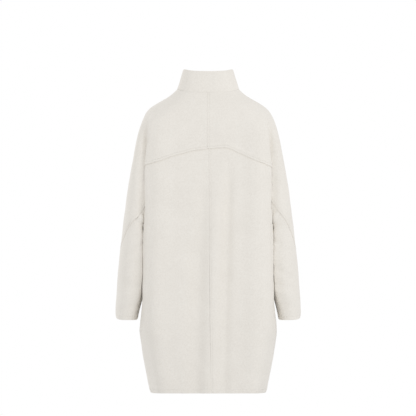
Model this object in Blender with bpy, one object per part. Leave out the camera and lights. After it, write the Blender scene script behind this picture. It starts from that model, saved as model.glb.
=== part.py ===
"""Cocoon coat with a funnel collar and dolman sleeves, hollow as worn. Each cut panel is one wall of cloth.

Every panel is a grid on one shared surface. A point of that surface has a station, which runs round half the
coat from the centre back (0) to the centre front (12), and a drop, its depth below the back neck at the side.
"""

import bmesh
import bpy
import numpy as np

MM = 0.001

# Cloth, in millimetres
WALL = 2.5
SEAM_GAP = 0.3
LAP_CLEARANCE = 0.6

# Drops of the main lines, in millimetres
NECK_SEAM = -10
UNDERARM = 400
HEM = 903

# Stations round half the coat
CENTRE_BACK, BACK_VALLEY, OVERARM, FRONT_VALLEY, CENTRE_FRONT = 0, 4, 6, 8, 12
LAP = 0.34

# Body sections, in millimetres. The crease is where a panel turns in towards the arm, and the side is the
# bottom of that fold above the underarm and the side seam below it.
BODY_COLUMNS = (
    "drop", "back", "front", "crease_back_x", "crease_back", "crease_front_x", "crease_front",
    "side_x", "side_back", "side_front")
BODY = (
    (-70, -57, 60, 63.5, -32, 63.5, 34, 70.5, -20.5, 21.5),
    (-10, -70, 80, 80, -39, 80, 44, 88, -25, 27),
    (12, -83, 90, 101, -47, 101, 51, 111, -31, 32),
    (36, -96, 99, 134, -58, 134, 60, 147, -39, 39),
    (63, -106, 107, 160, -73, 160, 66, 174, -46, 46),
    (84, -111, 112, 172, -83, 171, 70, 178, -68, 49),
    (108, -115, 117, 180, -88, 178, 74, 181, -78, 54),
    (150, -120, 122, 185, -93, 181, 79, 183, -86, 58),
    (200, -124, 127, 187, -97, 182, 84, 184, -91, 60),
    (250, -128, 131, 188, -99, 182, 88, 185, -93, 58),
    (300, -131, 134, 188, -100, 181, 92, 185, -92, 54),
    (350, -134, 136, 189, -100, 180, 95, 185, -90, 46),
    (378, -136, 137, 190, -100, 180, 96, 183.5, -82, 38),
    (392, -137, 138, 190, -100, 180, 96, 177, -56, 32),
    (400, -137, 138, 190, -100, 180, 96, 161, 12, 12),
    (412, -137, 138, 190, -100, 180, 96, 150, 6, 6),
    (430, -138, 139, 191, -100, 180, 96, 143, -2, -2),
    (480, -141, 140, 192, -100, 180, 96, 141, -6, -6),
    (540, -144, 141, 193, -100, 181, 96, 150, 0, 0),
    (600, -145, 141, 195, -100, 183, 96, 168, 10, 10),
    (650, -145, 141, 194, -100, 186, 95, 187, 22, 22),
    (690, -145, 141, 193, -99, 187, 92, 197.5, 26, 26),
    (720, -144, 140, 191, -97, 185, 87, 202.5, 20, 20),
    (744, -144, 139, 187, -95, 182, 83, 201, 14, 14),
    (792, -142, 137, 180, -92, 176, 79, 195, 8, 8),
    (840, -139, 134, 171, -89, 168, 76, 186, 4, 4),
    (888, -136, 131, 163, -86, 161, 73, 177, 1, 1),
    (903, -134, 129, 158, -85, 156, 71, 172, 0, 0),
)

# Sleeve sections, in millimetres. The inner line is the sleeve's own seam below the underarm.
SLEEVE_COLUMNS = ("drop", "outer_x", "outer_y", "mid_x", "mid_back", "mid_front", "inner_x", "inner_y")
SLEEVE = (
    (-70, 74.5, 0, 73.5, -10, 10, 161, 12),
    (-37, 84, 0, 83, -11, 11, 161, 12),
    (-10, 94, 0, 92, -12, 12, 161, 12),
    (0, 102, 0, 100, -13, 13, 161, 12),
    (12, 117, 0, 115, -15, 15, 161, 12),
    (36, 157, 0, 154, -19, 19, 161, 12),
    (48, 174, 0, 170, -21, 21, 161, 12),
    (63, 187, 0, 182, -23, 23, 161, 12),
    (84, 197, -10, 190, -54, 26, 161, 12),
    (108, 204, -17, 194, -72, 30, 161, 12),
    (150, 214, -19, 199, -86, 39, 161, 12),
    (204, 225, -20, 204, -93, 45, 161, 12),
    (276, 239, -18, 208, -96, 52, 161, 12),
    (324, 246, -17, 208, -96, 56, 161, 12),
    (378, 253, -15, 211, -96, 60, 161, 12),
    (392, 255, -14.3, 213, -96, 61.4, 161, 12),
    (400, 256, -14, 215.5, -96, 62, 161, 12),
    (412, 257, -14, 216.5, -96, 62, 176, 17),
    (430, 259, -13, 217, -96, 63, 190, 19),
    (480, 265, -12, 219, -95, 64, 194, 17),
    (540, 271, -10, 219, -93, 66, 194, 12),
    (600, 275, -9, 222, -90, 66, 197, 8),
    (650, 278, -4, 234, -80, 66, 207, 6),
    (684, 277, -1, 242, -72, 66, 214, 6),
)

# How far the neck rings sink below their side height at the back and at the front, in millimetres
TILT_COLUMNS = ("drop", "back", "front")
TILT = ((-70, 6.7, 48.5), (-10, 10, 55), (108, 0, 0), (903, 0, 0))

# Where each panel ends, as a drop at each station. The yoke seam dives into the fold and comes out on the
# sleeve, and at the back its right half rises over a fold.
YOKE_SEAM_COLUMNS = ("station", "left", "right")
YOKE_SEAM = (
    (0, 170, 170),
    (0.55, 177, 166.5),
    (0.78, 183, 173),
    (1, 188, 183),
    (2, 212, 214),
    (3, 221, 227),
    (3.5, 254, 254),
    (4, 294, 290),
    (4.25, 333, 318),
    (4.5, 352, 334),
    (5, 375, 358),
    (6, 472, 476),
    (7, 373, 368),
    (8, 285, 284),
    (9, 226, 226),
    (10, 210, 210),
    (11, 186, 186),
    (12, 176, 176),
)
EDGE_COLUMNS = ("station", "drop")
ELBOW = ((4, 400), (6, 545), (8, 400))
CUFF_EDGE = (
    (4, 675), (4.3, 681), (4.7, 684), (5.1, 684), (5.5, 681.5), (5.75, 676), (6, 666),
    (6.25, 676), (6.5, 681.5), (6.9, 684), (7.3, 684), (7.7, 681), (8, 675))
HEM_EDGE = ((0, 903), (3.2, 903), (3.7, 901), (4, 897), (8, 897), (8.3, 901), (8.8, 903), (12, 903))
COLLAR_EDGE = (
    (0, -69.7), (1.5, -70.1), (3, -70.6), (4.2, -70.2), (5.2, -67.5), (6, -62.5),
    (7, -65.5), (8, -68.5), (12, -68.5))

# Hanging folds, in millimetres. A ridge has a depth above zero and a trough below it.
# A fold whose foot lies past the hem runs out over it.
FOLD_COLUMNS = ("face", "top_x", "foot_x", "top", "foot", "depth", "half_width")
FOLDS = (
    ("back", 34, -8, 160, 1100, 4, 24),
    ("back", 12, -8, 300, 1100, 7.5, 34),
    ("back", 66, 34, 165, 1100, -5.5, 17),
    ("back", 140, 132, 150, 1100, 2.6, 23),
    ("back", -98, -84, 420, 1000, 1.8, 34),
    ("back", 34, 36, 10, 200, 1.8, 18),
    ("back", 92, 94, 30, 200, -1.5, 19),
    ("front", -88, -74, 200, 1100, -4.0, 17),
    ("front", -120, -112, 260, 1100, 3.5, 18),
    ("front", 82, 70, 180, 1100, 3.5, 18),
    ("front", 116, 98, 210, 1100, -4.5, 15),
)
FOLD_RUN_IN = 110

# Where the points between the centre line and the crease lie, as shares of the way out and of the way round
QUARTER_X, QUARTER_Y = 0.5, 0.945
BLADE_COLUMNS = ("drop", "x", "y")
BLADE = ((-70, 0.86, 0.5), (36, 0.86, 0.56), (150, 0.9, 0.68), (903, 0.9, 0.68))
ROUNDNESS = 1.1
# How far the section has turned from the open fold above the underarm to a closed ring below it
TURN_COLUMNS = ("drop", "body", "sleeve")
TURN = (
    (340, 0, 0), (366, 0.1, 0.1), (380, 0.2, 0.3), (392, 0.32, 0.4), (400, 0.4, 0),
    (412, 0.47, 0.3), (430, 0.55, 0.65), (480, 0.55, 1), (560, 0.55, 1), (690, 1, 1))

# Grid lines: steps between stations, and shares of each panel's length
STATION_STEPS = (5, 4, 3, 4, 4, 4, 4, 4, 4, 3, 3)
LAP_STATIONS = (11.34, 11.62, 12, 12.34)
YOKE_ROWS = (0, 0.046, 0.096, 0.152, 0.21, 0.29, 0.4, 0.54, 0.7, 0.85, 1)
ARMHOLE_ROWS = (0, 0.33, 0.62, 0.85, 1)
SKIRT_ROWS = (0.024, 0.06, 0.12, 0.2, 0.29, 0.38, 0.47, 0.56, 0.63, 0.71, 0.79, 0.88, 0.96, 1)
FOREARM_ROWS = (0.045, 0.11, 0.25, 0.42, 0.63, 0.84, 1)
COLLAR_ROWS = (0, 0.35, 0.7, 1)
RIM_LEAN_X, RIM_LEAN_Y = 0.37, 0.61

CLOTH_COLOUR = (0.79, 0.76, 0.71, 1)
CLOTH_ROUGHNESS = 0.9


def curve(table, columns, name, at):
    """A smooth line down one column of a table, which never overshoots its rows."""
    knots = np.array([row[0] for row in table], float)
    values = np.array([row[columns.index(name)] for row in table], float)
    step = np.diff(knots)
    rise = np.diff(values) / step
    same_way = rise[:-1] * rise[1:] > 0
    total = np.where(same_way, rise[:-1] + rise[1:], 1)
    slope = np.concatenate([rise[:1], np.where(same_way, 2 * rise[:-1] * rise[1:] / total, 0), rise[-1:]])
    at = np.clip(at, knots[0], knots[-1])
    k = np.clip(np.searchsorted(knots, at, side="right") - 1, 0, len(step) - 1)
    t = (at - knots[k]) / step[k]
    return hermite(values[k], values[k + 1], slope[k] * step[k], slope[k + 1] * step[k], t)


def hermite(start, end, leave, arrive, t):
    return (
        (2 * t**3 - 3 * t**2 + 1) * start
        + (3 * t**2 - 2 * t**3) * end
        + (t**3 - 2 * t**2 + t) * leave
        + (t**3 - t**2) * arrive
    )


def smooth_step(value):
    value = np.clip(value, 0, 1)
    return value * value * (3 - 2 * value)


def section_points(drop, on_sleeve):
    """The thirteen points that shape half a section, as an array of station, place and (x, y)."""
    body = {name: curve(BODY, BODY_COLUMNS, name, drop) for name in BODY_COLUMNS[1:]}
    arm = {name: curve(SLEEVE, SLEEVE_COLUMNS, name, drop) for name in SLEEVE_COLUMNS[1:]}
    blade_x, blade_y = (curve(BLADE, BLADE_COLUMNS, name, drop) for name in BLADE_COLUMNS[1:])
    below = on_sleeve & (drop > UNDERARM)
    valley_x = np.where(below, arm["inner_x"], body["side_x"])

    def half(face):
        middle, edge, out = body[face], body[f"crease_{face}"], body[f"crease_{face}_x"]
        return [
            (0 * drop, middle),
            (QUARTER_X * out, edge + QUARTER_Y * (middle - edge)),
            (blade_x * out, edge + blade_y * (middle - edge)),
            (out, edge),
            (valley_x, np.where(below, arm["inner_y"], body["side_" + face])),
            (arm["mid_x"], arm["mid_" + face]),
        ]

    points = half("back") + [(arm["outer_x"], arm["outer_y"])] + half("front")[::-1]
    return np.array(points).transpose(0, 2, 1)


def heading(before, here, after):
    """The direction in which a round line through three points passes the middle one."""
    first, second = here - before, after - here
    first_length = np.linalg.norm(first, axis=-1, keepdims=True)
    second_length = np.linalg.norm(second, axis=-1, keepdims=True)
    way = first * second_length / first_length + second * first_length / second_length
    return way / np.linalg.norm(way, axis=-1, keepdims=True)


def headings(points, drop, on_sleeve):
    mirrored = points * np.array((-1, 1))
    chain = np.concatenate([mirrored[1:2], points, mirrored[-2:-1]])
    ways = heading(chain[:-2], chain[1:-1], chain[2:])
    arm_turn, body_turn = (curve(TURN, TURN_COLUMNS, name, drop) for name in ("sleeve", "body"))
    turn = np.where(on_sleeve, arm_turn, body_turn)[:, None]
    sleeve = on_sleeve[:, None]
    before = np.where(sleeve, points[FRONT_VALLEY - 1], points[BACK_VALLEY - 1])
    after = np.where(sleeve, points[BACK_VALLEY + 1], points[FRONT_VALLEY + 1])
    for valley in (BACK_VALLEY, FRONT_VALLEY):
        closed = heading(before, points[valley], after)
        ways[valley] = (1 - turn) * ways[valley] + turn * closed
    return ways


def fold_height(face, x, drop):
    height = 0 * x
    for row in FOLDS:
        fold = dict(zip(FOLD_COLUMNS, row))
        if fold["face"] == face:
            along = np.clip((drop - fold["top"]) / (HEM - fold["top"]), 0, 1)
            centre = fold["top_x"] + along * (fold["foot_x"] - fold["top_x"])
            starts = smooth_step((drop - fold["top"]) / FOLD_RUN_IN)
            ends = smooth_step((fold["foot"] - drop) / FOLD_RUN_IN)
            bell = np.exp(-(((x - centre) / fold["half_width"]) ** 2))
            height = height + fold["depth"] * starts * ends * bell
    return height


def surface(side, station, drop, on_sleeve):
    """Outer cloth points in metres. Side is 1 on the right and -1 on the left."""
    shape = station.shape
    station, drop, on_sleeve = station.ravel(), drop.ravel(), on_sleeve.ravel()
    past_front = station > CENTRE_FRONT
    station = np.where(past_front, 2 * CENTRE_FRONT - station, station)
    points = section_points(drop, on_sleeve)
    ways = headings(points, drop, on_sleeve)
    k = np.clip(np.floor(station).astype(int), 0, CENTRE_FRONT - 1)
    n = np.arange(len(station))
    start, end = points[k, n], points[k + 1, n]
    reach = ROUNDNESS * np.linalg.norm(end - start, axis=-1, keepdims=True)
    flat = hermite(start, end, ways[k, n] * reach, ways[k + 1, n] * reach, (station - k)[:, None])
    x = flat[:, 0] * side * np.where(past_front, -1, 1)
    back_share = smooth_step(3 - station)
    front_share = smooth_step(station - 9)
    y = flat[:, 1] - fold_height("back", x, drop) * back_share + fold_height("front", x, drop) * front_share
    back_tilt = np.cos(np.pi / 2 * np.clip(station / OVERARM, 0, 1)) ** 2
    front_tilt = np.sin(np.pi / 2 * np.clip(station / OVERARM - 1, 0, 1)) ** 2
    sink = curve(TILT, TILT_COLUMNS, "back", drop) * back_tilt
    sink = sink + curve(TILT, TILT_COLUMNS, "front", drop) * front_tilt
    return (np.stack([x, y, -drop - sink], axis=-1) * MM).reshape(shape + (3,))


def stations(first, last):
    marks = [0.0]
    for k, steps in enumerate(STATION_STEPS):
        marks += [k + (j + 1) / steps for j in range(steps)]
    marks += LAP_STATIONS
    return np.array([mark for mark in marks if first <= mark <= last])


def between(top, foot, shares):
    return top + np.array(shares)[:, None] * (foot - top)


def yoke_seam(at, hand):
    return curve(YOKE_SEAM, YOKE_SEAM_COLUMNS, hand, at)


def yoke_rows(at, hand):
    return between(NECK_SEAM + 0 * at, yoke_seam(at, hand), YOKE_ROWS)


def body_rows(at, hand):
    upper = between(yoke_seam(at, hand), UNDERARM, ARMHOLE_ROWS)
    hem = curve(HEM_EDGE, EDGE_COLUMNS, "drop", at)
    return np.concatenate([upper, between(UNDERARM + 0 * at, hem, SKIRT_ROWS)])


def sleeve_rows(at, hand):
    elbow = curve(ELBOW, EDGE_COLUMNS, "drop", at)
    cuff = curve(CUFF_EDGE, EDGE_COLUMNS, "drop", at)
    upper = between(yoke_seam(at, hand), elbow, ARMHOLE_ROWS)
    return np.concatenate([upper, between(elbow, cuff, FOREARM_ROWS)])


def collar_rows(at):
    return between(curve(COLLAR_EDGE, EDGE_COLUMNS, "drop", at), NECK_SEAM, COLLAR_ROWS)


class Panel:
    """One cut piece: a grid of points, with columns round the coat and rows down it."""

    def __init__(self, side, at, drops, sewn, on_sleeve=False):
        self.side, self.at, self.sewn = side, at, sewn
        place = np.broadcast_to(at, drops.shape)
        arm = np.full(drops.shape, on_sleeve) | ((place > BACK_VALLEY) & (place < FRONT_VALLEY))
        self.points = surface(side, place, drops, arm)

    def joined(self, other):
        """The panel carried on across the centre back."""
        self.points = np.concatenate([self.points[:, ::-1], other.points[:, 1:]], axis=1)
        self.at = np.concatenate([-self.at[::-1], other.at[1:]])
        self.side = 1
        return self


def panels():
    """Every panel by name. A sewn edge is the first or last column or the first or last row."""
    made = {}
    whole = stations(CENTRE_BACK, CENTRE_FRONT + LAP)
    for side, hand in ((-1, "left"), (1, "right")):
        for piece, first, last, rows, sewn, on_sleeve in (
            ("back_yoke", CENTRE_BACK, OVERARM, yoke_rows, ("first", "last", "top", "foot"), False),
            ("front_yoke", OVERARM, CENTRE_FRONT + LAP, yoke_rows, ("first", "top", "foot"), False),
            ("back", CENTRE_BACK, BACK_VALLEY, body_rows, ("first", "last", "top"), False),
            ("front", FRONT_VALLEY, CENTRE_FRONT + LAP, body_rows, ("first", "top"), False),
            ("sleeve", BACK_VALLEY, FRONT_VALLEY, sleeve_rows, ("first", "last", "top"), True),
        ):
            at = stations(first, last)
            made[f"{piece}_{hand}"] = Panel(side, at, rows(at, hand), sewn, on_sleeve)
    left = Panel(-1, whole, collar_rows(whole), ("foot",))
    made["collar"] = left.joined(Panel(1, whole, collar_rows(whole), ("foot",)))
    return made


def outward(points, side):
    """A normal for every cell of a grid, pointing out of the coat and longer on a larger cell."""
    across = points[:-1, 1:] - points[1:, :-1]
    down = points[1:, 1:] - points[:-1, :-1]
    return np.cross(down, across) * side


def shared_normals(made):
    """One normal for each place, so that panels that meet at a seam have walls that run side by side."""
    sums = {}
    for panel in made.values():
        cells = outward(panel.points, panel.side)
        total = np.zeros_like(panel.points)
        for rows, columns in ((slice(0, -1), slice(0, -1)), (slice(1, None), slice(0, -1)),
                              (slice(0, -1), slice(1, None)), (slice(1, None), slice(1, None))):
            total[rows, columns] += cells
        for place, normal in zip(panel.points.reshape(-1, 3), total.reshape(-1, 3)):
            key = tuple(np.round(place, 6) + 0.0)
            sums[key] = sums.get(key, 0) + normal
    return sums


def inset(points, sewn):
    """Half a seam gap on each sewn edge, along the cloth and square to the seam."""
    moved = points.copy()
    edges = {
        "first": (np.s_[:, 0], np.s_[:, 1]),
        "last": (np.s_[:, -1], np.s_[:, -2]),
        "top": (np.s_[0], np.s_[1]),
        "foot": (np.s_[-1], np.s_[-2]),
    }
    for name in sewn:
        edge, inner = edges[name]
        seam = np.gradient(points[edge], axis=0)
        seam /= np.linalg.norm(seam, axis=-1, keepdims=True)
        way = points[inner] - points[edge]
        way -= seam * np.sum(way * seam, axis=-1, keepdims=True)
        moved[edge] += SEAM_GAP / 2 * MM * way / np.linalg.norm(way, axis=-1, keepdims=True)
    return moved


def wall_points(panel, normals):
    keys = [tuple(np.round(place, 6) + 0.0) for place in panel.points.reshape(-1, 3)]
    normal = np.array([normals[key] for key in keys]).reshape(panel.points.shape)
    normal /= np.linalg.norm(normal, axis=-1, keepdims=True)
    under = np.where(panel.at < 0, -panel.at, panel.at if panel.side < 0 else 0)
    ramp = (under - (CENTRE_FRONT - 2 * LAP)) / (LAP_STATIONS[1] - LAP_STATIONS[0])
    sink = (WALL + LAP_CLEARANCE) * MM * np.clip(ramp, 0, 1)
    outer = inset(panel.points, panel.sewn) - normal * sink[:, None]
    return outer, outer - normal * WALL * MM


def grid_places(verts, rows, columns):
    """The row and column of each vertex of a new grid."""
    places = {}
    for vert in verts:
        row = round((1 - vert.co.y) / 2 * (rows - 1))
        column = round((vert.co.x + 1) / 2 * (columns - 1))
        places[vert] = (row, column)
    return places


def rim_order(vert):
    return vert.co.z + RIM_LEAN_Y * vert.co.y - RIM_LEAN_X * abs(vert.co.x)


def split_rim(grid, outer_places, inner_places):
    """Cuts each rim face across the same way on both panels of a seam, so twisted rims lie side by side."""
    inner_at = {place: vert for vert, place in inner_places.items()}
    for face in grid.faces[:]:
        ends = [vert for vert in face.verts if vert in outer_places]
        if len(ends) == 2:
            low, high = sorted(ends, key=rim_order)
            bmesh.utils.face_split(face, low, inner_at[outer_places[high]])


def add_solid(name, outer, inner, material):
    rows, columns = outer.shape[:2]
    grid = bmesh.new()
    bmesh.ops.create_grid(grid, x_segments=columns - 1, y_segments=rows - 1, size=1)
    outer_places = grid_places(grid.verts, rows, columns)
    grown = bmesh.ops.extrude_face_region(grid, geom=grid.faces[:])
    new_verts = [part for part in grown["geom"] if isinstance(part, bmesh.types.BMVert)]
    inner_places = grid_places(new_verts, rows, columns)
    for places, points in ((outer_places, outer), (inner_places, inner)):
        for vert, place in places.items():
            vert.co = points[place]
    split_rim(grid, outer_places, inner_places)
    bmesh.ops.triangulate(grid, faces=grid.faces[:], quad_method="SHORT_EDGE")
    bmesh.ops.recalc_face_normals(grid, faces=grid.faces[:])
    mesh = bpy.data.meshes.new(name)
    grid.to_mesh(mesh)
    grid.free()
    mesh.shade_smooth()
    mesh.materials.append(material)
    bpy.context.scene.collection.objects.link(bpy.data.objects.new(name, mesh))


def wool(name):
    material = bpy.data.materials.new(name)
    material.use_nodes = True
    shader = material.node_tree.nodes["Principled BSDF"]
    shader.inputs["Base Color"].default_value = CLOTH_COLOUR
    shader.inputs["Roughness"].default_value = CLOTH_ROUGHNESS
    shader.inputs["Metallic"].default_value = 0
    return material


def main():
    for thing in list(bpy.data.objects):
        bpy.data.objects.remove(thing)
    made = panels()
    normals = shared_normals(made)
    for name, panel in made.items():
        outer, inner = wall_points(panel, normals)
        add_solid(name, outer, inner, wool(f"{name}_wool"))


main()
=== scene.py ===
"""Looks of the cocoon coat: panels of felted wool, lapped and topstitched, hanging as worn."""

import math

import bmesh
import bpy
import numpy as np
from mathutils import Matrix, Vector


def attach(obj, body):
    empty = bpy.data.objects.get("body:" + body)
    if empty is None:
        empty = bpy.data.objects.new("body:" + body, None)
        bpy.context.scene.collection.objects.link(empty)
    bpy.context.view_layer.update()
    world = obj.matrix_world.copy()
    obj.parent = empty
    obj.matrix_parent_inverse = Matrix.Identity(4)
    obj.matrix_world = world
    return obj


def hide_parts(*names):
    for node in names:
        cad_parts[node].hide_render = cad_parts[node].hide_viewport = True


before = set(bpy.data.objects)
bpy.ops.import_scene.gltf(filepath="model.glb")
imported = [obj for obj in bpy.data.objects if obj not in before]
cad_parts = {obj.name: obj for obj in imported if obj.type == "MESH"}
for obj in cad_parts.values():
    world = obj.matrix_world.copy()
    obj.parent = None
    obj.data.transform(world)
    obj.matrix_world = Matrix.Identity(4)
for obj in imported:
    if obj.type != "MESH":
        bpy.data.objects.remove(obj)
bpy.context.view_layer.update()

MM = 0.001

# Cloth and sewing, in millimetres
WALL = 2.2
RIM_ROUND = 0.4
RIM_ANGLE = 55
LAP_LIFT = 0.9
LAP_SINK = 1.5
LAP_FLAT = 7
LAP_RUN_OUT = 9
LAP_CONTACT = 0.3
LAP_CONTACT_WIDTH = 1.6
YOKE_HIDDEN = 6
NECK_DEPTH = 1.2
NECK_HALF_WIDTH = 6
CENTRE_DEPTH = 0.7
CENTRE_HALF_WIDTH = 1.6
BUTT_DEPTH = 0.6
BUTT_HALF_WIDTH = 1.7
BUTT_GAP = 0.05
HEM_LIFT = 0.5
HEM_DEPTH = 10
HEM_RUN_OUT = 3
STITCH_INSET = 6
GROOVE_DEPTH = 0.7
GROOVE_HALF_WIDTH = 0.75
PUCKER = 0.22
PUCKER_HALF_WIDTH = 5
PUCKER_LENGTH, PUCKER_SWELL, PUCKER_WANDER = 3.1, 7.3, 17
STATION_LENGTH = 90
STITCH_PITCH = 4.2
STITCH_LENGTH = 3.3
STITCH_WIDTH = 0.75
STITCH_HEIGHT = 0.55
STITCH_SEAT = 0.25
FRONT_LAP_SINK = 5.2

# Drops of the main lines, in millimetres
NECK_SEAM = -10
UNDERARM = 400
HEM = 903

# Stations round half the coat
CENTRE_BACK, BACK_VALLEY, OVERARM, FRONT_VALLEY, CENTRE_FRONT = 0, 4, 6, 8, 12
LAP = 0.34
LAP_TURN = 0.28
BESIDE_EDGE = 0.03
# How near the overarm seam the lap of the yoke starts and is whole, on the sleeve and where the body begins
SLEEVE_LAP_NEAR, SLEEVE_LAP_FAR = 0.05, 0.5
BODY_LAP_NEAR, BODY_LAP_FAR = 1.5, 2
# How much of the lap's height is left on the sleeve
SLEEVE_LAP = 0.55
# Over how many columns to each side the slant of an edge is evened
SLANT_REACH = 4
SLANT_MOST = 2.4

# Body sections, in millimetres, as in the coat's own solids
BODY_COLUMNS = (
    "drop", "back", "front", "crease_back_x", "crease_back", "crease_front_x", "crease_front",
    "side_x", "side_back", "side_front")
BODY = (
    (-70, -57, 60, 63.5, -32, 63.5, 34, 70.5, -20.5, 21.5),
    (-10, -70, 80, 80, -39, 80, 44, 88, -25, 27),
    (12, -83, 90, 101, -47, 101, 51, 111, -31, 32),
    (36, -96, 99, 134, -58, 134, 60, 147, -39, 39),
    (63, -106, 107, 160, -73, 160, 66, 174, -46, 46),
    (84, -111, 112, 172, -83, 171, 70, 178, -68, 49),
    (108, -115, 117, 180, -88, 178, 74, 181, -78, 54),
    (150, -120, 122, 185, -93, 181, 79, 183, -86, 58),
    (200, -124, 127, 187, -97, 182, 84, 184, -91, 60),
    (250, -128, 131, 188, -99, 182, 88, 185, -93, 58),
    (300, -131, 134, 188, -100, 181, 92, 185, -92, 54),
    (350, -134, 136, 189, -100, 180, 95, 185, -90, 46),
    (378, -136, 137, 190, -100, 180, 96, 183.5, -82, 38),
    (392, -137, 138, 190, -100, 180, 96, 177, -56, 32),
    (400, -137, 138, 190, -100, 180, 96, 161, 12, 12),
    (412, -137, 138, 190, -100, 180, 96, 150, 6, 6),
    (430, -138, 139, 191, -100, 180, 96, 143, -2, -2),
    (480, -141, 140, 192, -100, 180, 96, 141, -6, -6),
    (540, -144, 141, 193, -100, 181, 96, 150, 0, 0),
    (600, -145, 141, 195, -100, 183, 96, 168, 10, 10),
    (650, -145, 141, 194, -100, 186, 95, 187, 22, 22),
    (690, -145, 141, 193, -99, 187, 92, 197.5, 26, 26),
    (720, -144, 140, 191, -97, 185, 87, 202.5, 20, 20),
    (744, -144, 139, 187, -95, 182, 83, 201, 14, 14),
    (792, -142, 137, 180, -92, 176, 79, 195, 8, 8),
    (840, -139, 134, 171, -89, 168, 76, 186, 4, 4),
    (888, -136, 131, 163, -86, 161, 73, 177, 1, 1),
    (903, -134, 129, 158, -85, 156, 71, 172, 0, 0),
)
SLEEVE_COLUMNS = ("drop", "outer_x", "outer_y", "mid_x", "mid_back", "mid_front", "inner_x", "inner_y")
SLEEVE = (
    (-70, 74.5, 0, 73.5, -10, 10, 161, 12),
    (-37, 84, 0, 83, -11, 11, 161, 12),
    (-10, 94, 0, 92, -12, 12, 161, 12),
    (0, 102, 0, 100, -13, 13, 161, 12),
    (12, 117, 0, 115, -15, 15, 161, 12),
    (36, 157, 0, 154, -19, 19, 161, 12),
    (48, 174, 0, 170, -21, 21, 161, 12),
    (63, 187, 0, 182, -23, 23, 161, 12),
    (84, 197, -10, 190, -54, 26, 161, 12),
    (108, 204, -17, 194, -72, 30, 161, 12),
    (150, 214, -19, 199, -86, 39, 161, 12),
    (204, 225, -20, 204, -93, 45, 161, 12),
    (276, 239, -18, 208, -96, 52, 161, 12),
    (324, 246, -17, 208, -96, 56, 161, 12),
    (378, 253, -15, 211, -96, 60, 161, 12),
    (392, 255, -14.3, 213, -96, 61.4, 161, 12),
    (400, 256, -14, 215.5, -96, 62, 161, 12),
    (412, 257, -14, 216.5, -96, 62, 176, 17),
    (430, 259, -13, 217, -96, 63, 190, 19),
    (480, 265, -12, 219, -95, 64, 194, 17),
    (540, 271, -10, 219, -93, 66, 194, 12),
    (600, 275, -9, 222, -90, 66, 197, 8),
    (650, 278, -4, 234, -80, 66, 207, 6),
    (684, 277, -1, 242, -72, 66, 214, 6),
)
TILT_COLUMNS = ("drop", "back", "front")
TILT = ((-70, 6.7, 48.5), (-10, 10, 55), (108, 0, 0), (903, 0, 0))

# Where each panel ends, as a drop at each station
YOKE_SEAM_COLUMNS = ("station", "left", "right")
YOKE_SEAM = (
    (0, 170, 170),
    (0.55, 177, 166.5),
    (0.78, 183, 173),
    (1, 188, 183),
    (2, 212, 214),
    (3, 221, 227),
    (3.5, 254, 254),
    (4, 294, 290),
    (4.25, 333, 318),
    (4.5, 352, 334),
    (5, 375, 358),
    (6, 472, 476),
    (7, 373, 368),
    (8, 285, 284),
    (9, 226, 226),
    (10, 210, 210),
    (11, 186, 186),
    (12, 176, 176),
)
EDGE_COLUMNS = ("station", "drop")
CUFF_EDGE = (
    (4, 675), (4.3, 681), (4.7, 684), (5.1, 684), (5.5, 681.5), (5.75, 676), (6, 666),
    (6.25, 676), (6.5, 681.5), (6.9, 684), (7.3, 684), (7.7, 681), (8, 675))
HEM_EDGE = ((0, 903), (3.2, 903), (3.7, 901), (4, 897), (8, 897), (8.3, 901), (8.8, 903), (12, 903))
COLLAR_EDGE = (
    (0, -69.7), (1.5, -70.1), (3, -70.6), (4.2, -70.2), (5.2, -67.5), (6, -62.5),
    (7, -65.5), (8, -68.5), (12, -68.5))

# How far right of the middle the centre-back seam lies, in millimetres, on the yoke and on the lower back
CENTRE_COLUMNS = ("drop", "x")
YOKE_CENTRE = ((-10, -2.6), (60, -3.4), (240, -3.4))
BACK_CENTRE = ((150, 1.6), (330, 2.4), (620, 4.6), (760, 6.2), (903, 8.0))

# Hanging folds, in millimetres. A ridge has a depth above zero and a trough below it.
# A fold whose foot lies past the hem runs out over it.
FOLD_COLUMNS = ("face", "top_x", "foot_x", "top", "foot", "depth", "half_width")
FOLDS = (
    ("back", 34, -8, 160, 1100, 4, 24),
    ("back", 12, -8, 300, 1100, 7.5, 34),
    ("back", 66, 34, 165, 1100, -5.5, 17),
    ("back", 140, 132, 150, 1100, 2.6, 23),
    ("back", -98, -84, 420, 1000, 1.8, 34),
    ("back", -13, -28, 230, 1100, -7, 20),
    ("back", -34, -44, 420, 1100, -6, 22),
    ("back", 30, 26, 300, 1100, 3, 15),
    ("back", 63, 52, 200, 1100, -4.4, 12),
    ("back", 34, 36, 10, 200, 1.8, 18),
    ("back", 92, 94, 30, 200, -1.5, 19),
    ("front", -88, -74, 200, 1100, -4.0, 17),
    ("front", -120, -112, 260, 1100, 3.5, 18),
    ("front", 82, 70, 180, 1100, 3.5, 18),
    ("front", 116, 98, 210, 1100, -4.5, 15),
)
FOLD_RUN_IN = 110
# Stations at which the hanging folds of each face have run out
BACK_FOLDS_END, FRONT_FOLDS_START = 3, 9

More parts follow.
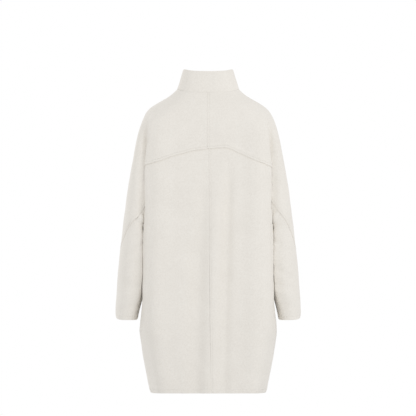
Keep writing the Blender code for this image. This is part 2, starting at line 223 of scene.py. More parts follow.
# Small creases, each a bowed line on one side, from a station and drop to another, in millimetres across
CREASE_COLUMNS = (
    "pieces", "side", "station", "drop", "end_station", "end_drop", "bow", "depth", "half_width")
CREASES = (
    ("every", -1, 4, 120, 4, 470, 0, 5.5, 8),
    ("every", 1, 4, 110, 4, 470, 0, 6, 8),
    ("every", -1, 4.8, 330, 4.8, 700, 0, 5, 7),
    ("every", 1, 4.8, 330, 4.8, 700, 0, 5, 7),
    ("sleeve", -1, 4.62, 360, 4.62, 403, 0, 8.5, 8),
    ("sleeve", 1, 4.62, 356, 4.62, 403, 0, 8.5, 8),
    ("back", -1, 3.2, 352, 3.2, 404, 0, 3.5, 7),
    ("back", 1, 3.2, 346, 3.2, 404, 0, 4, 7),
    ("back", -1, 3.05, 330, 3.05, 640, 0, 2, 6),
    ("back", 1, 3.05, 330, 3.05, 640, 0, 2, 6),
    ("back", -1, 2.68, 90, 2.68, 860, 0, 2.8, 11),
    ("back", 1, 2.68, 90, 2.68, 860, 0, 1.6, 11),
    ("sleeve", -1, 4.5, 430, 5.5, 500, 14, -1.8, 9),
    ("sleeve", -1, 4.4, 520, 5.7, 556, 10, 1.5, 11),
    ("sleeve", -1, 4.5, 580, 5.4, 600, -8, -1.3, 9),
    ("sleeve", -1, 4.6, 628, 5.6, 652, 8, -1.2, 8),
    ("sleeve", 1, 4.5, 415, 5.3, 470, 12, -1.4, 9),
    ("sleeve", 1, 4.6, 505, 5.7, 560, 16, -2.0, 10),
    ("sleeve", 1, 4.5, 575, 5.6, 612, 10, 1.6, 10),
    ("sleeve", 1, 4.7, 640, 5.5, 655, -6, -1.1, 8),
    ("sleeve", -1, 6.4, 520, 7.6, 470, -14, -2.2, 9),
    ("sleeve", -1, 6.3, 560, 7.5, 548, -10, 1.6, 10),
    ("sleeve", -1, 6.5, 618, 7.3, 604, -6, -1.4, 8),
    ("sleeve", 1, 6.4, 530, 7.5, 486, -12, -2.0, 9),
    ("sleeve", 1, 6.4, 588, 7.6, 570, -9, -1.5, 9),
    ("yoke", -1, 2.7, 96, 4.5, 190, 20, -1.6, 12),
    ("yoke", -1, 4.9, 150, 5.5, 330, 8, -1.4, 13),
    ("yoke", 1, 2.5, 88, 4.4, 205, 24, -1.4, 12),
    ("yoke", 1, 5.0, 170, 5.6, 350, 10, -1.3, 12),
    ("yoke", 1, 7.0, 170, 8.2, 240, 14, -1.8, 12),
    ("yoke", -1, 7.1, 190, 8.3, 250, 12, -1.6, 12),
    ("yoke", -1, 9.2, 90, 10.6, 160, 10, 1.4, 15),
    ("yoke", 1, 9.3, 110, 10.4, 165, 8, -1.3, 14),
    ("back", -1, 3.1, 330, 1.7, 420, 20, -1.5, 13),
    ("back", -1, 1.6, 250, 1.9, 470, 12, -1.2, 16),
    ("back", 1, 3.0, 300, 1.8, 400, 16, -1.4, 12),
    ("back", 1, 2.2, 470, 2.0, 690, 10, 1.2, 15),
    ("back", -1, 2.4, 560, 2.2, 800, 12, -1.3, 14),
    ("back", -1, 0.7, 640, 0.8, 860, 8, -1.0, 13),
    ("front", -1, 8.9, 330, 10.2, 430, 18, -1.6, 13),
    ("front", 1, 9.0, 320, 10.4, 450, 22, -1.8, 13),
    ("front", -1, 10.3, 520, 10.2, 780, 10, 1.3, 16),
    ("front", 1, 9.7, 560, 9.9, 820, 12, -1.3, 15),
)
CREASE_SAMPLES = 140
CREASE_TAPER = 0.38
SHOULDER_SHARE = 0.3
SHOULDER_AWAY = 2.1

# Slow unevenness of the cloth, as waves with a length and a height, in millimetres
WAVES = ((97, 0.38), (61, 0.26), (38, 0.14))

# Where the points between the centre line and the crease lie, as shares of the way out and of the way round
QUARTER_X, QUARTER_Y = 0.5, 0.945
BLADE_COLUMNS = ("drop", "x", "y")
BLADE = ((-70, 0.86, 0.5), (36, 0.86, 0.56), (150, 0.9, 0.68), (903, 0.9, 0.68))
ROUNDNESS = 1.1
# How far the section has turned from the open fold above the underarm to a closed ring below it
TURN_COLUMNS = ("drop", "body", "sleeve")
TURN = (
    (340, 0, 0), (366, 0.1, 0.1), (380, 0.2, 0.3), (392, 0.32, 0.4), (400, 0.4, 0),
    (412, 0.47, 0.3), (430, 0.55, 0.65), (480, 0.55, 1), (560, 0.55, 1), (690, 1, 1))

# Where the turn of the sleeve beside the underarm is eased: within a reach of the overarm seam, in stations,
# and between two drops, as a mean over steps down the sleeve, in millimetres
EASE_REACH, EASE_FADE = 1.25, 0.3
EASE_TOP, EASE_FOOT, EASE_RUN_IN = 345, 425, 25
EASE_STEPS = np.arange(-20, 21, 4)
EASE_WIDTH = 11

# Distances from an edge, in millimetres, at which a panel has lines of its own
MARKS = {
    "over": (0, 1.4, 2.6, 3.8, 4.9, 5.5, 6, 6.5, 7.1, 8.4, 10.5, 13.5),
    "under": (0, 1.6, 3.4, 5, 6, 7.4, 9.4, 12, 15.5),
    "butt": (0, 1.4, 2.8, 5),
    "turned": (0, 1.4, 3.2, 5.6, 8.2, 9.3, 10, 10.7, 11.8, 14),
    "cut": (0, 1.4, 3.2, 6),
}

# Columns and rows of each kind of panel, and the drop at which its columns are shared out, in millimetres
GRIDS = {
    "back_yoke": ((74, 74), 150),
    "front_yoke": ((80, 74), 150),
    "back": ((54, 130), 600),
    "front": ((60, 130), 600),
    "sleeve": ((52, 66), 500),
    "collar": ((128, 11), -40),
}

# Looks of the cloth and the thread: colours of pale and dark flecks, scales of flecks and nap, and bump
WOOL = ((0.885, 0.853, 0.80), (0.80, 0.765, 0.71), 230, 900, 0.4)
THREAD = ((0.86, 0.83, 0.78), (0.72, 0.69, 0.635), 900, 2600, 0.3)
BUMP_DISTANCE = 0.6

# Stage, in metres
FLOOR_RADIUS = 1.5
FLOOR_HEIGHT = -1.42
FLOOR_GREY = 0.74
CAMERA_AWAY = 30.0
BACK_PLANE = 0.06
FRAME_SIZE = 1.248
FRAME_MIDDLE = (-0.0006, -0.348)
SENSOR = 36
AMBIENT = 0.885
LIGHTS_COLUMNS = ("name", "place", "target", "size", "watts")
LIGHTS = (
    ("key", (4.2, -5.2, 0.3), (0, 0, -0.4), 2.4, 50),
    ("front_key", (-4.2, 5.2, 0.3), (0, 0, -0.4), 2.4, 50),
)


def curve(table, columns, name, at):
    """A smooth line down one column of a table, which never overshoots its rows."""
    knots = np.array([row[0] for row in table], float)
    values = np.array([row[columns.index(name)] for row in table], float)
    step = np.diff(knots)
    rise = np.diff(values) / step
    same_way = rise[:-1] * rise[1:] > 0
    total = np.where(same_way, rise[:-1] + rise[1:], 1)
    slope = np.concatenate([rise[:1], np.where(same_way, 2 * rise[:-1] * rise[1:] / total, 0), rise[-1:]])
    at = np.clip(at, knots[0], knots[-1])
    k = np.clip(np.searchsorted(knots, at, side="right") - 1, 0, len(step) - 1)
    t = (at - knots[k]) / step[k]
    return hermite(values[k], values[k + 1], slope[k] * step[k], slope[k + 1] * step[k], t)


def hermite(start, end, leave, arrive, t):
    return (
        (2 * t**3 - 3 * t**2 + 1) * start
        + (3 * t**2 - 2 * t**3) * end
        + (t**3 - 2 * t**2 + t) * leave
        + (t**3 - t**2) * arrive
    )


def smooth_step(value):
    value = np.clip(value, 0, 1)
    return value * value * (3 - 2 * value)


def section_points(drop, on_sleeve):
    """The thirteen points that shape half a section, as an array of station, place and (x, y)."""
    body = {name: curve(BODY, BODY_COLUMNS, name, drop) for name in BODY_COLUMNS[1:]}
    arm = {name: curve(SLEEVE, SLEEVE_COLUMNS, name, drop) for name in SLEEVE_COLUMNS[1:]}
    blade_x, blade_y = (curve(BLADE, BLADE_COLUMNS, name, drop) for name in BLADE_COLUMNS[1:])
    below = on_sleeve & (drop > UNDERARM)
    valley_x = np.where(below, arm["inner_x"], body["side_x"])

    def half(face):
        middle, edge, out = body[face], body[f"crease_{face}"], body[f"crease_{face}_x"]
        return [
            (0 * drop, middle),
            (QUARTER_X * out, edge + QUARTER_Y * (middle - edge)),
            (blade_x * out, edge + blade_y * (middle - edge)),
            (out, edge),
            (valley_x, np.where(below, arm["inner_y"], body["side_" + face])),
            (arm["mid_x"], arm["mid_" + face]),
        ]

    points = half("back") + [(arm["outer_x"], arm["outer_y"])] + half("front")[::-1]
    return np.array(points).transpose(0, 2, 1)


def heading(before, here, after):
    """The direction in which a round line through three points passes the middle one."""
    first, second = here - before, after - here
    first_length = np.linalg.norm(first, axis=-1, keepdims=True)
    second_length = np.linalg.norm(second, axis=-1, keepdims=True)
    way = first * second_length / first_length + second * first_length / second_length
    return way / np.linalg.norm(way, axis=-1, keepdims=True)


def headings(points, drop, on_sleeve):
    mirrored = points * np.array((-1, 1))
    chain = np.concatenate([mirrored[1:2], points, mirrored[-2:-1]])
    ways = heading(chain[:-2], chain[1:-1], chain[2:])
    arm_turn, body_turn = (curve(TURN, TURN_COLUMNS, name, drop) for name in ("sleeve", "body"))
    turn = np.where(on_sleeve, arm_turn, body_turn)[:, None]
    sleeve = on_sleeve[:, None]
    before = np.where(sleeve, points[FRONT_VALLEY - 1], points[BACK_VALLEY - 1])
    after = np.where(sleeve, points[BACK_VALLEY + 1], points[FRONT_VALLEY + 1])
    for valley in (BACK_VALLEY, FRONT_VALLEY):
        closed = heading(before, points[valley], after)
        ways[valley] = (1 - turn) * ways[valley] + turn * closed
    return ways


def fold_height(face, x, drop):
    height = 0 * x
    for row in FOLDS:
        fold = dict(zip(FOLD_COLUMNS, row))
        if fold["face"] == face:
            along = np.clip((drop - fold["top"]) / (HEM - fold["top"]), 0, 1)
            centre = fold["top_x"] + along * (fold["foot_x"] - fold["top_x"])
            run = smooth_step((drop - fold["top"]) / FOLD_RUN_IN)
            run = run * smooth_step((fold["foot"] - drop) / FOLD_RUN_IN)
            height = height + fold["depth"] * run * np.exp(-(((x - centre) / fold["half_width"]) ** 2))
    return height


def surface(side, station, drop, on_sleeve=False):
    """Outer cloth points in millimetres. Side is 1 on the right and -1 on the left."""
    station, drop = np.broadcast_arrays(np.asarray(station, float), np.asarray(drop, float))
    shape = station.shape
    arm = (np.full(shape, on_sleeve) | ((station > BACK_VALLEY) & (station < FRONT_VALLEY))).ravel()
    station, drop = station.ravel(), drop.ravel()
    crossed = (station < CENTRE_BACK) | (station > CENTRE_FRONT)
    station = np.where(station > CENTRE_FRONT, 2 * CENTRE_FRONT - station, np.abs(station))
    points = section_points(drop, arm)
    ways = headings(points, drop, arm)
    k = np.clip(np.floor(station).astype(int), 0, CENTRE_FRONT - 1)
    n = np.arange(len(station))
    start, end = points[k, n], points[k + 1, n]
    reach = ROUNDNESS * np.linalg.norm(end - start, axis=-1, keepdims=True)
    flat = hermite(start, end, ways[k, n] * reach, ways[k + 1, n] * reach, (station - k)[:, None])
    x = flat[:, 0] * side * np.where(crossed, -1, 1)
    back_fold = fold_height("back", x, drop) * smooth_step(BACK_FOLDS_END - station)
    front_fold = fold_height("front", x, drop) * smooth_step(station - FRONT_FOLDS_START)
    y = flat[:, 1] - back_fold + front_fold
    back_tilt = np.cos(np.pi / 2 * np.clip(station / OVERARM, 0, 1)) ** 2
    front_tilt = np.sin(np.pi / 2 * np.clip(station / OVERARM - 1, 0, 1)) ** 2
    sink = curve(TILT, TILT_COLUMNS, "back", drop) * back_tilt
    sink = sink + curve(TILT, TILT_COLUMNS, "front", drop) * front_tilt
    return np.stack([x, y, -drop - sink], axis=-1).reshape(shape + (3,))


def unit(vectors):
    return vectors / np.linalg.norm(vectors, axis=-1, keepdims=True)


def millimetres_a_station(side, station, drop, on_sleeve):
    step = 0.02
    ahead = surface(side, station + step, drop, on_sleeve)
    behind = surface(side, station - step, drop, on_sleeve)
    return np.linalg.norm(ahead - behind, axis=-1) / (2 * step)


def slant(side, station, drop, on_sleeve):
    """How much further down than square to itself a line across the coat has to move."""
    along = unit(np.gradient(surface(side, station, drop, on_sleeve), axis=0))
    down = surface(side, station, drop + 1, on_sleeve) - surface(side, station, drop - 1, on_sleeve)
    square = down - along * np.sum(down * along, axis=-1, keepdims=True)
    ratio = np.clip(np.linalg.norm(down, axis=-1) / np.linalg.norm(square, axis=-1), 1, SLANT_MOST)
    window = 2 * SLANT_REACH + 1
    return np.convolve(np.pad(ratio, SLANT_REACH, mode="edge"), np.ones(window) / window, mode="valid")


def eased_surface(side, station, drop, on_sleeve):
    """The coat's form, with the quick turn of the sleeve beside the underarm eased."""
    form = surface(side, station, drop, on_sleeve)
    share = smooth_step((EASE_REACH - np.abs(np.abs(station) - OVERARM)) / EASE_FADE)
    share = share * smooth_step((drop - EASE_TOP) / EASE_RUN_IN)
    share = share * (1 - smooth_step((drop - EASE_FOOT) / EASE_RUN_IN))
    weights = np.exp(-((EASE_STEPS / EASE_WIDTH) ** 2))
    eased = sum(
        weight * surface(side, station, drop + step, on_sleeve) for step, weight in zip(EASE_STEPS, weights))
    return form + (eased / weights.sum() - form) * share[..., None]


def groove(distance):
    return GROOVE_DEPTH * np.exp(-((distance / GROOVE_HALF_WIDTH) ** 2))


def lapped_over(distance):
    """Height of the upper cloth of a lapped seam, with the groove of its topstitch."""
    return LAP_LIFT * (1 - smooth_step((distance - LAP_FLAT) / LAP_RUN_OUT)) - groove(distance - STITCH_INSET)


def lapped_under(distance):
    return -LAP_SINK * (1 - smooth_step(distance / LAP_RUN_OUT))


def lapped_on_sleeve(distance):
    """Height of the sleeve under the yoke, which presses a little deeper beside the yoke's edge."""
    return lapped_under(distance) - LAP_CONTACT * np.exp(-((distance / LAP_CONTACT_WIDTH) ** 2))


def neck_fold(distance):
    return -NECK_DEPTH * np.exp(-((distance / NECK_HALF_WIDTH) ** 2))


def pressed(distance):
    """Height beside a seam that is pressed flat."""
    return -CENTRE_DEPTH * np.exp(-((distance / CENTRE_HALF_WIDTH) ** 2))


def pressed_stitched(distance):
    return pressed(distance) - groove(distance - STITCH_INSET)


def butted(distance):
    return -BUTT_DEPTH * np.exp(-((distance / BUTT_HALF_WIDTH) ** 2))


def turned(distance):
    """Height of a turned and stitched hem."""
    return HEM_LIFT * (1 - smooth_step((distance - HEM_DEPTH) / HEM_RUN_OUT)) - groove(distance - HEM_DEPTH)


def stitched(distance):
    """Height of a cut edge with a topstitch beside it."""
    return -groove(distance - STITCH_INSET)


def plain(distance):
    return 0 * distance


class Edge:
    """One edge of a panel: its line, how it is sewn, and how far the cloth runs on out of sight."""

    def __init__(self, line, height, marks, hidden=0, share=1):
        self.line = line if callable(line) else (lambda at: line + 0 * at)
        self.hidden = hidden if callable(hidden) else (lambda at: hidden + 0 * at)
        self.share = share if callable(share) else (lambda at: share + 0 * at)
        self.height, self.marks = height, np.array(MARKS[marks], float)

    def stitch_mark(self):
        """The place among the marks of the line of stitches, if the edge has one."""
        insets = {
            lapped_over: STITCH_INSET, pressed_stitched: STITCH_INSET, stitched: STITCH_INSET,
            turned: HEM_DEPTH}
        inset = insets.get(self.height)
        return None if inset is None else list(self.marks).index(inset)


def spread(low, high, low_marks, high_marks, low_scale, high_scale, shares):
    """Lines from low to high: some at set distances from both edges, and the others shared out between."""
    head = low + low_marks[:, None] * low_scale
    tail = high - high_marks[::-1, None] * high_scale
    middle = head[-1] + shares[1:-1, None] * (tail[0] - head[-1])
    return np.concatenate([head, middle, tail])


class Panel:
    """One cut piece of cloth as a grid of points, with columns round the coat and rows down it."""

    def __init__(self, name, side, first, last, top, foot, cells, middle_drop, on_sleeve=False):
        self.name, self.side, self.on_sleeve = name, side, on_sleeve
        self.edges = {"first": first, "last": last, "top": top, "foot": foot}
        columns, rows = cells
        self.lay_out(columns, np.linspace(0, 1, rows + 1), middle_drop)
        self.points = eased_surface(side, self.station, self.drop, on_sleeve)
        self.normals = self.outward(self.points)
        self.points = self.points + self.normals * (self.seam_heights() + self.relief())[..., None]
        self.normals = self.outward(self.points)

    def station_edges(self, first_drop, last_drop):
        """Both cut edges as stations, and how many stations a millimetre is there."""
        ends = []
        for name, drop, way in (("first", first_drop, -1), ("last", last_drop, 1)):
            edge = self.edges[name]
            line = edge.line(drop)
            scale = 1 / millimetres_a_station(self.side, line - way * BESIDE_EDGE, drop, self.on_sleeve)
            ends.append((line + way * edge.hidden(drop) * scale, scale))
        return ends

    def drop_edges(self, top_station, foot_station):
        """Both cut edges as drops, and how far down a millimetre square to the edge is."""
        ends = []
        for name, station, way in (("top", top_station, -1), ("foot", foot_station, 1)):
            edge = self.edges[name]
            line = edge.line(station)
            scale = slant(self.side, station, line, self.on_sleeve)
            ends.append((line + way * edge.hidden(station) * scale, scale))
        return ends

    def even_shares(self, start, end, count, drop):
        """Shares of the way from one station to another that part the cloth evenly."""
        fine = np.linspace(start, end, 20 * count + 1)
        steps = np.linalg.norm(np.diff(surface(self.side, fine, drop, self.on_sleeve), axis=0), axis=-1)
        run = np.concatenate([[0], np.cumsum(steps)])
        stations = np.interp(np.linspace(0, run[-1], count + 1), run, fine)
        return (stations - start) / (end - start)

    def lay_out(self, columns, row_shares, middle_drop):
        marks = {name: edge.marks for name, edge in self.edges.items()}
        first_drop = last_drop = np.array([middle_drop], float)
        for _ in range(2):
            (low, low_scale), (high, high_scale) = self.station_edges(first_drop, last_drop)
            shares = self.even_shares(low.mean(), high.mean(), columns, middle_drop)
            station = spread(low, high, marks["first"], marks["last"], low_scale, high_scale, shares).T
            (top, top_scale), (foot, foot_scale) = self.drop_edges(station[0], station[-1])
            drop = spread(top, foot, marks["top"], marks["foot"], top_scale, foot_scale, row_shares)
            first_drop, last_drop = drop[:, 0], drop[:, -1]
        (low, low_scale), (high, high_scale) = self.station_edges(first_drop, last_drop)
        self.station = spread(low, high, marks["first"], marks["last"], low_scale, high_scale, shares).T
        self.drop = drop
        self.from_edge = {
            "first": (self.station - low[:, None]) / low_scale[:, None],
            "last": (high[:, None] - self.station) / high_scale[:, None],
            "top": (drop - top) / top_scale,
            "foot": (foot - drop) / foot_scale,
        }

    def outward(self, points):
        return unit(np.cross(np.gradient(points, axis=0), np.gradient(points, axis=1)) * self.side)

    def seam_heights(self):
        height = 0 * self.drop
        for name, edge in self.edges.items():
            at = self.drop if name in ("first", "last") else self.station
            height = height + edge.height(self.from_edge[name] - edge.hidden(at)) * edge.share(at)
        return height - self.lap_sink() + self.puckers()

    def lap_sink(self):
        """How far the left front lies below the right one that laps over it."""
        round_left = np.where(self.station < 0, -self.station, self.station if self.side < 0 else 0)
        return FRONT_LAP_SINK * smooth_step((round_left - (CENTRE_FRONT - 2 * LAP)) / LAP_TURN)

    def puckers(self):
        """Small uneven pulls along each topstitch."""
        height = 0 * self.drop
        for name, edge in self.edges.items():
            if edge.stitch_mark() is not None:
                along = self.drop if name in ("first", "last") else STATION_LENGTH * self.station
                wander = 2 * np.sin(along / PUCKER_WANDER)
                wave = np.sin(along / PUCKER_LENGTH + wander) * np.sin(along / PUCKER_SWELL)
                inset = edge.marks[edge.stitch_mark()]
                away = (self.from_edge[name] - inset) / PUCKER_HALF_WIDTH
                height = height + PUCKER * wave * np.exp(-(away**2))
        return height

    def relief(self):
        """Small creases and slow unevenness."""
        x, y, z = np.moveaxis(self.points, -1, 0)
        height = 0 * x
        for length, rise in WAVES:
            turn = 2 * np.pi / length
            wave = np.sin(turn * (0.8 * x + 0.5 * z)) * np.sin(turn * (0.5 * z - 0.7 * y) + length)
            height = height + rise * wave
        for row in CREASES:
            crease = dict(zip(CREASE_COLUMNS, row))
            here = crease["pieces"] == "every" or crease["pieces"] in self.name
            if here and crease["side"] == self.side and self.name != "collar":
                height = height + self.crease_height(crease)
        return height

    def crease_height(self, crease):
        t = np.linspace(0, 1, CREASE_SAMPLES)
        station = crease["station"] + t * (crease["end_station"] - crease["station"])
        drop = crease["drop"] + t * (crease["end_drop"] - crease["drop"]) + crease["bow"] * 4 * t * (1 - t)
        line = surface(self.side, station, drop, self.on_sleeve)
        apart = np.linalg.norm(self.points[..., None, :] - line, axis=-1)
        nearest = apart.argmin(axis=-1)
        distance = apart.min(axis=-1) / crease["half_width"]
        taper = smooth_step(np.minimum(t, 1 - t) / CREASE_TAPER)[nearest]
        shoulders = SHOULDER_SHARE * np.exp(-((distance - SHOULDER_AWAY) ** 2))
        return crease["depth"] * taper * (np.exp(-(distance**2)) - shoulders)

    def stitch_lines(self):
        """Points and outward directions along each line of topstitching."""
        lines = []
        for name, edge in self.edges.items():
            mark = edge.stitch_mark()
            if mark is not None:
                place = {
                    "first": np.s_[:, mark], "last": np.s_[:, -1 - mark],
                    "top": np.s_[mark], "foot": np.s_[-1 - mark]}[name]
                lines.append((self.points[place], self.normals[place]))
        return lines


def yoke_seam(side):
    hand = "left" if side < 0 else "right"
    return lambda at: curve(YOKE_SEAM, YOKE_SEAM_COLUMNS, hand, at)


def edge_line(table):
    return lambda at: curve(table, EDGE_COLUMNS, "drop", np.abs(at))


def centre_edge(side, table):
    """The centre-back seam, pressed flat, with a topstitch on its right."""

    def line(drop):
        scale = millimetres_a_station(side, 0 * drop + BESIDE_EDGE, drop, False)
        return side * curve(table, CENTRE_COLUMNS, "x", drop) / scale

    if side > 0:
        return Edge(line, pressed_stitched, "over", hidden=-BUTT_GAP)
    return Edge(line, pressed, "butt", hidden=-BUTT_GAP)


def sewn(station):
    """A plain seam, pressed open, on which the cloth ends just short of its station."""
    return Edge(station, butted, "butt", hidden=-BUTT_GAP)


def from_overarm(station, near, far):
    """A share that grows from zero to one between two distances from the overarm seam, in stations."""
    return smooth_step((np.abs(station - OVERARM) - near) / (far - near))


def yoke_lap(station):
    """How much of the lap of the yoke seam is left: a low step on the sleeve, and nothing at the overarm."""
    on_sleeve = SLEEVE_LAP * from_overarm(station, SLEEVE_LAP_NEAR, SLEEVE_LAP_FAR)
    return on_sleeve + (1 - SLEEVE_LAP) * from_overarm(station, BODY_LAP_NEAR, BODY_LAP_FAR)


def yoke_hidden(station):
    """How far the sleeve runs on under the yoke: on the body's side alone, and butted elsewhere."""
    return -BUTT_GAP + (YOKE_HIDDEN + BUTT_GAP) * from_overarm(station, BODY_LAP_NEAR, BODY_LAP_FAR)


def front_edge(side):
    if side > 0:
        return Edge(CENTRE_FRONT + LAP, stitched, "over")
    return Edge(CENTRE_FRONT + LAP, plain, "cut")


def coat_panels():
    made = []
    for side, hand in ((-1, "left"), (1, "right")):
        over = Edge(yoke_seam(side), lapped_over, "over", share=yoke_lap)
        under = Edge(yoke_seam(side), lapped_under, "under", hidden=YOKE_HIDDEN)
        in_sleeve = Edge(yoke_seam(side), lapped_on_sleeve, "under", hidden=yoke_hidden, share=yoke_lap)
        neck = Edge(NECK_SEAM, neck_fold, "under", hidden=-BUTT_GAP)
        hem = Edge(edge_line(HEM_EDGE), turned, "turned")
        cuff = Edge(edge_line(CUFF_EDGE), turned, "turned")
        made += [
            Panel(f"back_yoke_{hand}", side, centre_edge(side, YOKE_CENTRE), sewn(OVERARM),
                  neck, over, *GRIDS["back_yoke"]),
            Panel(f"front_yoke_{hand}", side, sewn(OVERARM), front_edge(side),
                  neck, over, *GRIDS["front_yoke"]),
            Panel(f"back_{hand}", side, centre_edge(side, BACK_CENTRE), sewn(BACK_VALLEY),
                  under, hem, *GRIDS["back"]),
            Panel(f"front_{hand}", side, sewn(FRONT_VALLEY), front_edge(side),
                  under, hem, *GRIDS["front"]),
            Panel(f"sleeve_{hand}", side, sewn(BACK_VALLEY), sewn(FRONT_VALLEY),
                  in_sleeve, cuff, *GRIDS["sleeve"], on_sleeve=True),
        ]
    rim = Edge(edge_line(COLLAR_EDGE), plain, "cut")
    foot = Edge(NECK_SEAM, neck_fold, "under", hidden=-BUTT_GAP)
    made.append(Panel("collar", 1, Edge(-CENTRE_FRONT - LAP, plain, "cut"), front_edge(1),
                      rim, foot, *GRIDS["collar"]))
    return made


def link(name, mesh, material):
    mesh.materials.append(material)
    piece = bpy.data.objects.new(name, mesh)
    bpy.context.scene.collection.objects.link(piece)
    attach(piece, "root")
    return piece


def cloth_piece(panel, material):
    """The panel as a wall of cloth with a soft rim."""
    rows, columns = panel.drop.shape
    grid = bmesh.new()
    bmesh.ops.create_grid(grid, x_segments=columns - 1, y_segments=rows - 1, size=1)
    for vert in grid.verts:
        row = round((1 - vert.co.y) / 2 * (rows - 1))
        column = round((vert.co.x + 1) / 2 * (columns - 1))
        vert.co = panel.points[row, column] * MM
    if panel.side < 0:
        bmesh.ops.reverse_faces(grid, faces=grid.faces[:])
    mesh = bpy.data.meshes.new(f"{panel.name}_wool")
    grid.to_mesh(mesh)
    grid.free()
    mesh.shade_smooth()
    piece = link(f"{panel.name}_wool", mesh, material)
    wall = piece.modifiers.new("wall", "SOLIDIFY")
    wall.thickness = WALL * MM
    wall.offset = -1
    rim = piece.modifiers.new("soft rim", "BEVEL")
    rim.width = RIM_ROUND * MM
    rim.segments = 2
    rim.limit_method = "ANGLE"
    rim.angle_limit = math.radians(RIM_ANGLE)
    return piece


def topstitch(panel, material):
    """Every stitch along the panel's lines of topstitching, as small rounded lengths of thread."""
    threads = bmesh.new()
    for points, normals in panel.stitch_lines():
        steps = np.linalg.norm(np.diff(points, axis=0), axis=-1)
        run = np.concatenate([[0], np.cumsum(steps)])
        count = int(run[-1] // STITCH_PITCH)
        middles = (np.arange(count) + 0.5) * run[-1] / count
        along = np.stack([np.interp(middles, run, points[:, k]) for k in range(3)], axis=-1)
        ahead = np.stack([np.interp(middles + 1, run, points[:, k]) for k in range(3)], axis=-1)
        behind = np.stack([np.interp(middles - 1, run, points[:, k]) for k in range(3)], axis=-1)
        up = unit(np.stack([np.interp(middles, run, normals[:, k]) for k in range(3)], axis=-1))
        way = unit(ahead - behind)
        across = unit(np.cross(up, way))
        for place, length, width, height in zip(along, way, across, np.cross(way, across)):
            sizes = (width * STITCH_WIDTH / 2, height * STITCH_HEIGHT / 2, length * STITCH_LENGTH / 2)
            turn = (Matrix(sizes).transposed() * MM).to_4x4()
            seat = Matrix.Translation(Vector(place + height * STITCH_HEIGHT * STITCH_SEAT) * MM) @ turn
            bmesh.ops.create_uvsphere(threads, u_segments=6, v_segments=4, radius=1, matrix=seat)
    mesh = bpy.data.meshes.new(f"{panel.name}_topstitch")
    threads.to_mesh(mesh)
    threads.free()
    mesh.shade_smooth()
    return link(f"{panel.name}_topstitch", mesh, material)


def socket(group, name, kind, way, value=None):
    made = group.interface.new_socket(name, in_out=way, socket_type=kind)
    if value is not None:
        made.default_value = value


def node(tree, kind, **values):
    made = tree.nodes.new(kind)
    for name, value in values.items():
        setattr(made, name, value)
    return made


def felt_group():
    """Felted wool: pale and dark flecks, a brushed nap and slow clouding, on the piece's own coordinates."""
    group = bpy.data.node_groups.new("felted_wool", "ShaderNodeTree")
    socket(group, "Pale", "NodeSocketColor", "INPUT")
    socket(group, "Dark", "NodeSocketColor", "INPUT")
    socket(group, "Fleck Scale", "NodeSocketFloat", "INPUT", 230)
    socket(group, "Nap Scale", "NodeSocketFloat", "INPUT", 900)
    socket(group, "Colour", "NodeSocketColor", "OUTPUT")
    socket(group, "Roughness", "NodeSocketFloat", "OUTPUT")
    socket(group, "Height", "NodeSocketFloat", "OUTPUT")
    start, end = node(group, "NodeGroupInput"), node(group, "NodeGroupOutput")
    place = node(group, "ShaderNodeTexCoord")
    brushed = node(group, "ShaderNodeMapping")
    brushed.inputs["Scale"].default_value = (1, 1, 0.42)
    flecks = node(group, "ShaderNodeTexNoise")
    flecks.inputs["Detail"].default_value = 3
    flecks.inputs["Roughness"].default_value = 0.62
    nap = node(group, "ShaderNodeTexNoise")
    nap.inputs["Detail"].default_value = 4
    nap.inputs["Roughness"].default_value = 0.65
    nap.inputs["Distortion"].default_value = 0.6
    clouds = node(group, "ShaderNodeTexNoise")
    clouds.inputs["Scale"].default_value = 17
    clouds.inputs["Detail"].default_value = 2
    sum_up = node(group, "ShaderNodeMath", operation="MULTIPLY_ADD")
    sum_up.inputs[1].default_value = 0.55
    cloud_up = node(group, "ShaderNodeMath", operation="MULTIPLY_ADD")
    cloud_up.inputs[1].default_value = 0.3
    contrast = node(group, "ShaderNodeMapRange")
    contrast.inputs["From Min"].default_value = 0.63
    contrast.inputs["From Max"].default_value = 1.22
    mix = node(group, "ShaderNodeMix", data_type="RGBA")
    rough = node(group, "ShaderNodeMapRange")
    rough.inputs["To Min"].default_value = 0.84
    rough.inputs["To Max"].default_value = 0.98
    height = node(group, "ShaderNodeMath", operation="MULTIPLY_ADD")
    height.inputs[1].default_value = 0.6
    for source, target in (
        (place.outputs["Object"], brushed.inputs["Vector"]),
        (place.outputs["Object"], flecks.inputs["Vector"]),
        (brushed.outputs["Vector"], nap.inputs["Vector"]),
        (place.outputs["Object"], clouds.inputs["Vector"]),
        (start.outputs["Fleck Scale"], flecks.inputs["Scale"]),
        (start.outputs["Nap Scale"], nap.inputs["Scale"]),
        (nap.outputs["Fac"], sum_up.inputs[0]),
        (flecks.outputs["Fac"], sum_up.inputs[2]),
        (clouds.outputs["Fac"], cloud_up.inputs[0]),
        (sum_up.outputs["Value"], cloud_up.inputs[2]),
        (cloud_up.outputs["Value"], contrast.inputs["Value"]),
        (contrast.outputs["Result"], mix.inputs["Factor"]),
        (start.outputs["Dark"], mix.inputs["A"]),
        (start.outputs["Pale"], mix.inputs["B"]),
        (nap.outputs["Fac"], rough.inputs["Value"]),
        (flecks.outputs["Fac"], height.inputs[0]),
        (nap.outputs["Fac"], height.inputs[2]),
        (mix.outputs["Result"], end.inputs["Colour"]),
        (rough.outputs["Result"], end.inputs["Roughness"]),
        (height.outputs["Value"], end.inputs["Height"]),
    ):
        group.links.new(source, target)
    return group


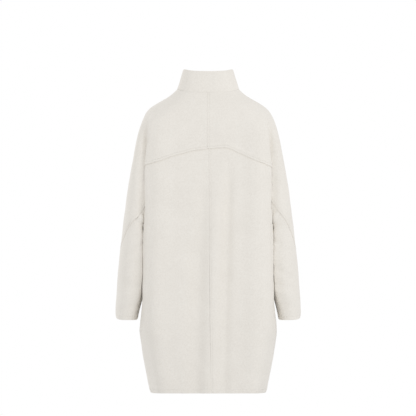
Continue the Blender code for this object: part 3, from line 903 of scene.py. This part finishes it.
def wool_material(name, group, pale, dark, fleck_scale, nap_scale, bump_strength):
    material = bpy.data.materials.new(name)
    material.use_nodes = True
    tree = material.node_tree
    shader = tree.nodes["Principled BSDF"]
    shader.inputs["Sheen Weight"].default_value = 0.12
    shader.inputs["Sheen Roughness"].default_value = 0.5
    shader.inputs["Specular IOR Level"].default_value = 0.2
    felt = node(tree, "ShaderNodeGroup", node_tree=group)
    felt.inputs["Pale"].default_value = (*pale, 1)
    felt.inputs["Dark"].default_value = (*dark, 1)
    felt.inputs["Fleck Scale"].default_value = fleck_scale
    felt.inputs["Nap Scale"].default_value = nap_scale
    bump = node(tree, "ShaderNodeBump")
    bump.inputs["Strength"].default_value = bump_strength
    bump.inputs["Distance"].default_value = BUMP_DISTANCE * MM
    tree.links.new(felt.outputs["Colour"], shader.inputs["Base Color"])
    tree.links.new(felt.outputs["Roughness"], shader.inputs["Roughness"])
    tree.links.new(felt.outputs["Height"], bump.inputs["Height"])
    tree.links.new(bump.outputs["Normal"], shader.inputs["Normal"])
    return material


def pale_floor():
    shape = bmesh.new()
    bmesh.ops.create_circle(shape, cap_ends=True, segments=96, radius=FLOOR_RADIUS,
                            matrix=Matrix.Translation((0, 0, FLOOR_HEIGHT)))
    mesh = bpy.data.meshes.new("floor")
    shape.to_mesh(mesh)
    shape.free()
    material = bpy.data.materials.new("pale_floor")
    material.use_nodes = True
    shader = material.node_tree.nodes["Principled BSDF"]
    shader.inputs["Base Color"].default_value = (FLOOR_GREY, FLOOR_GREY, FLOOR_GREY, 1)
    mesh.materials.append(material)
    floor = bpy.data.objects.new("floor", mesh)
    bpy.context.scene.collection.objects.link(floor)


def studio_light():
    for row in LIGHTS:
        lamp = dict(zip(LIGHTS_COLUMNS, row))
        data = bpy.data.lights.new(lamp["name"], "AREA")
        data.shape = "DISK"
        data.size = lamp["size"]
        data.energy = lamp["watts"]
        light = bpy.data.objects.new(lamp["name"], data)
        light.location = lamp["place"]
        way = Vector(lamp["target"]) - Vector(lamp["place"])
        light.rotation_euler = way.to_track_quat("-Z", "Y").to_euler()
        bpy.context.scene.collection.objects.link(light)
    world = bpy.data.worlds.new("studio")
    bpy.context.scene.world = world
    world.use_nodes = True
    tree = world.node_tree
    tree.nodes.clear()
    seen = node(tree, "ShaderNodeBackground")
    lit = node(tree, "ShaderNodeBackground")
    lit.inputs["Strength"].default_value = AMBIENT
    seen.inputs["Color"].default_value = lit.inputs["Color"].default_value = (1, 1, 1, 1)
    path = node(tree, "ShaderNodeLightPath")
    mix = node(tree, "ShaderNodeMixShader")
    out = node(tree, "ShaderNodeOutputWorld")
    tree.links.new(path.outputs["Is Camera Ray"], mix.inputs["Fac"])
    tree.links.new(lit.outputs["Background"], mix.inputs[1])
    tree.links.new(seen.outputs["Background"], mix.inputs[2])
    tree.links.new(mix.outputs["Shader"], out.inputs["Surface"])


def camera():
    data = bpy.data.cameras.new("camera")
    data.sensor_width = SENSOR
    data.lens = SENSOR * (CAMERA_AWAY - BACK_PLANE) / FRAME_SIZE
    data.clip_end = 100
    made = bpy.data.objects.new("camera", data)
    made.location = (FRAME_MIDDLE[0], -CAMERA_AWAY, FRAME_MIDDLE[1])
    made.rotation_euler = (math.radians(90), 0, 0)
    bpy.context.scene.collection.objects.link(made)
    bpy.context.scene.camera = made
    bpy.context.scene.view_settings.view_transform = "Standard"


def main():
    group = felt_group()
    wool = wool_material("felted_wool", group, *WOOL)
    thread = wool_material("wool_thread", group, *THREAD)
    for panel in coat_panels():
        piece = cloth_piece(panel, wool)
        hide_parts(panel.name)
        stitches = [topstitch(panel, thread)] if panel.stitch_lines() else []
    pale_floor()
    studio_light()
    camera()


main()
